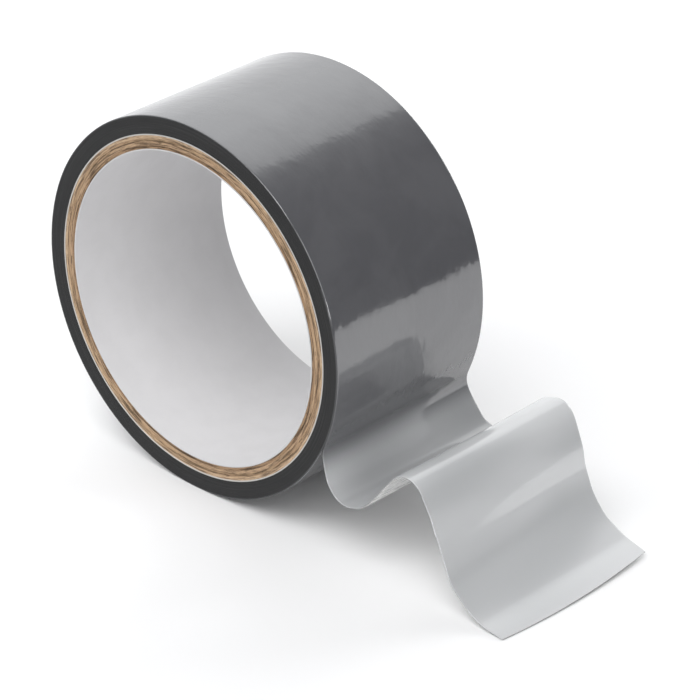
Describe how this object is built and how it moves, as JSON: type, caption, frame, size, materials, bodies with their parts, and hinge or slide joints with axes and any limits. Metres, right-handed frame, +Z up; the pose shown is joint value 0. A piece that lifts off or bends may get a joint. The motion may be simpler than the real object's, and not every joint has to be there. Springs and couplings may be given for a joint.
{
  "type": "duct tape roll",
  "caption": "Roll of grey film tape on a layered paper core, with a loose tail that peels from the roll and flexes at its bends.",
  "frame": {"origin": "centre of the hole through the core, at the middle of the tape's width", "axes": "+Y along the roll's axis, +Z up, +X the way the loose tail runs out"},
  "size_m": [0.1421, 0.048, 0.0927],
  "materials": {
    "white_paper": "smooth uncoated white paper",
    "kraft_board": "cut edge of kraft core board, fibrous",
    "wound_edge": "slit edges of many film turns, satin",
    "roll_film": "glossy grey film",
    "tail_film": "glossy translucent grey film",
    "adhesive": "thin smooth tacky coat"
  },
  "bodies": {
    "roll": {"core_liner": "white_paper", "core_ply_1": "kraft_board", "core_ply_2": "kraft_board", "core_ply_3": "kraft_board", "core_ply_4": "kraft_board", "core_wrap": "white_paper", "wound_tape": "wound_edge", "outer_turn_adhesive": "adhesive", "outer_turn_film": "roll_film"},
    "flap": {"flap_film": "roll_film", "flap_adhesive": "adhesive"},
    "tail_root": {"tail_root_film": "tail_film", "tail_root_adhesive": "adhesive"},
    "tail_rise": {"tail_rise_film": "tail_film", "tail_rise_adhesive": "adhesive"},
    "tail_fall": {"tail_fall_film": "tail_film", "tail_fall_adhesive": "adhesive"},
    "tail_foot": {"tail_foot_film": "tail_film", "tail_foot_adhesive": "adhesive"}
  },
  "joints": [
    {"name": "peel", "type": "hinge", "parent": "roll", "child": "flap", "pos_m": [0.04611, 0, 0.00444], "axis": [0, -1, 0], "range_deg": [0, 30]},
    {"name": "lift_off_flex", "type": "hinge", "parent": "flap", "child": "tail_root", "pos_m": [0.04215, 0, -0.01921], "axis": [0, -1, 0], "range_deg": [-5, 50], "stiffness_Nm_per_rad": 0.006},
    {"name": "valley_flex", "type": "hinge", "parent": "tail_root", "child": "tail_rise", "pos_m": [0.04932, 0, -0.03116], "axis": [0, -1, 0], "range_deg": [-40, 15], "stiffness_Nm_per_rad": 0.005},
    {"name": "crest_flex", "type": "hinge", "parent": "tail_rise", "child": "tail_fall", "pos_m": [0.06815, 0, -0.01642], "axis": [0, -1, 0], "range_deg": [-20, 45], "stiffness_Nm_per_rad": 0.004},
    {"name": "foot_flex", "type": "hinge", "parent": "tail_fall", "child": "tail_foot", "pos_m": [0.08496, 0, -0.04278], "axis": [0, -1, 0], "range_deg": [-35, 45], "stiffness_Nm_per_rad": 0.003}
  ]
}
